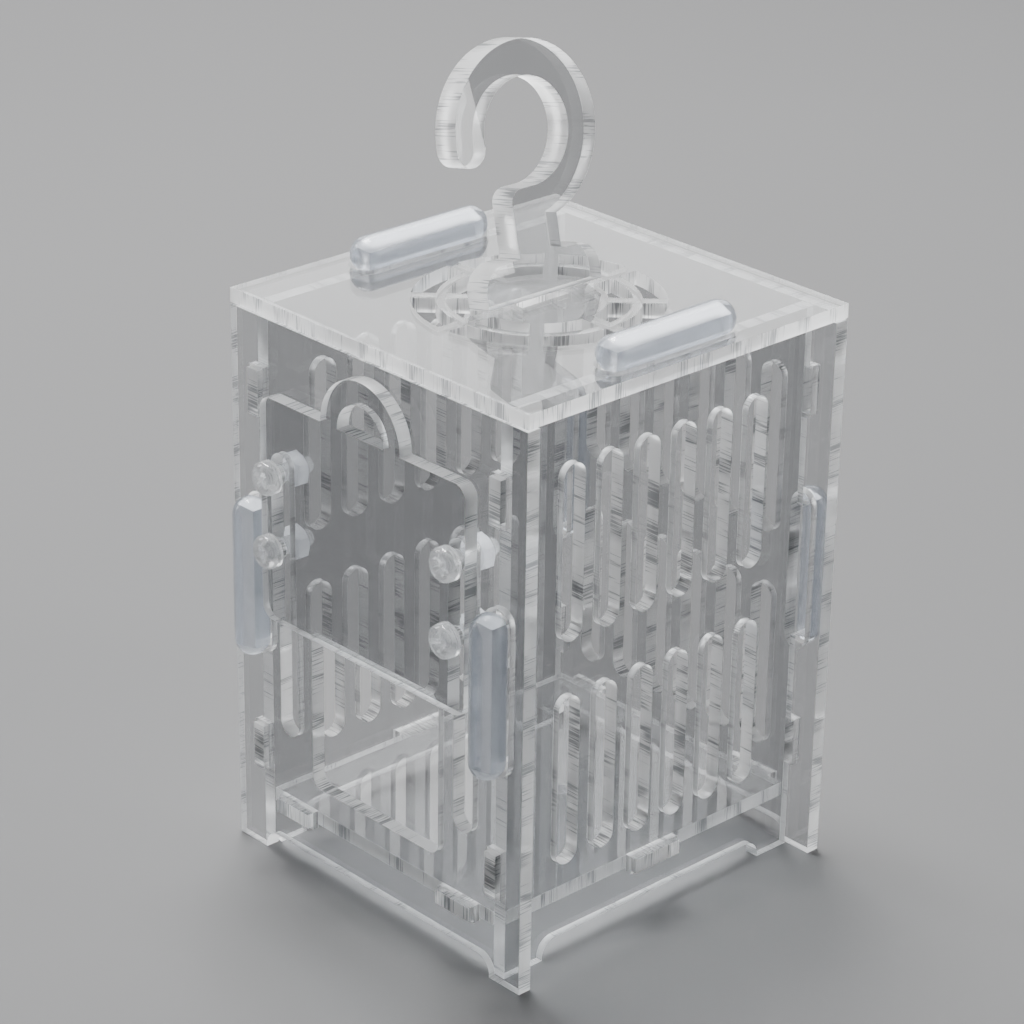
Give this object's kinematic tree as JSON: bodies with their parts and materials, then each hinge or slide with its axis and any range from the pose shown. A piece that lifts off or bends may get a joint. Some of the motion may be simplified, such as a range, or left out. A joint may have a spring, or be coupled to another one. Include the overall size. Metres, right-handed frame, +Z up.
{
  "type": "queen cage",
  "caption": "Clear queen cage of slotted flat sheets, with a sliding front door, a lift-off ventilated lid held by silicone strips, and a hanging hook.",
  "frame": {"origin": "centre of the object's bounding box in plan, on the plane under the feet", "axes": "+Z up towards the hook, -Y towards the sliding door, +X to the right seen from the door"},
  "size_m": [0.07, 0.08, 0.1412],
  "materials": {
    "clear_acrylic": "polished clear acrylic sheet with laser-cut edges",
    "silicone": "translucent milky silicone",
    "clear_screw": "clear moulded plastic",
    "milky_nut": "translucent milky plastic"
  },
  "bodies": {
    "cage": {"front_panel": "clear_acrylic", "back_panel": "clear_acrylic", "left_panel": "clear_acrylic", "right_panel": "clear_acrylic", "floor_panel": "clear_acrylic"},
    "door": {"door": "clear_acrylic", "left_lower_screw": "clear_screw", "left_upper_screw": "clear_screw", "right_lower_screw": "clear_screw", "right_upper_screw": "clear_screw", "left_lower_nut": "milky_nut", "left_upper_nut": "milky_nut", "right_lower_nut": "milky_nut", "right_upper_nut": "milky_nut"},
    "lid": {"lid": "clear_acrylic", "hook": "clear_acrylic"},
    "front_left_strip": {"front_left_strip": "silicone"},
    "front_right_strip": {"front_right_strip": "silicone"},
    "back_left_strip": {"back_left_strip": "silicone"},
    "back_right_strip": {"back_right_strip": "silicone"},
    "lid_left_strip": {"lid_left_strip": "silicone"},
    "lid_right_strip": {"lid_right_strip": "silicone"}
  },
  "joints": [
    {"name": "door_slide", "type": "slide", "parent": "cage", "child": "door", "axis": [0, 0, 1], "range_m": [-0.033, 0.0015]},
    {"name": "lid_lift", "type": "slide", "parent": "cage", "child": "lid", "axis": [0, 0, 1], "range_m": [0, 0.03]},
    {"name": "front_left_strip_pull", "type": "slide", "parent": "cage", "child": "front_left_strip", "axis": [0, -1, 0], "range_m": [0, 0.012]},
    {"name": "front_right_strip_pull", "type": "slide", "parent": "cage", "child": "front_right_strip", "axis": [0, -1, 0], "range_m": [0, 0.012]},
    {"name": "back_left_strip_pull", "type": "slide", "parent": "cage", "child": "back_left_strip", "axis": [0, 1, 0], "range_m": [0, 0.012]},
    {"name": "back_right_strip_pull", "type": "slide", "parent": "cage", "child": "back_right_strip", "axis": [0, 1, 0], "range_m": [0, 0.012]},
    {"name": "lid_left_strip_pull", "type": "slide", "parent": "lid", "child": "lid_left_strip", "axis": [0, 0, 1], "range_m": [0, 0.012]},
    {"name": "lid_right_strip_pull", "type": "slide", "parent": "lid", "child": "lid_right_strip", "axis": [0, 0, 1], "range_m": [0, 0.012]}
  ]
}
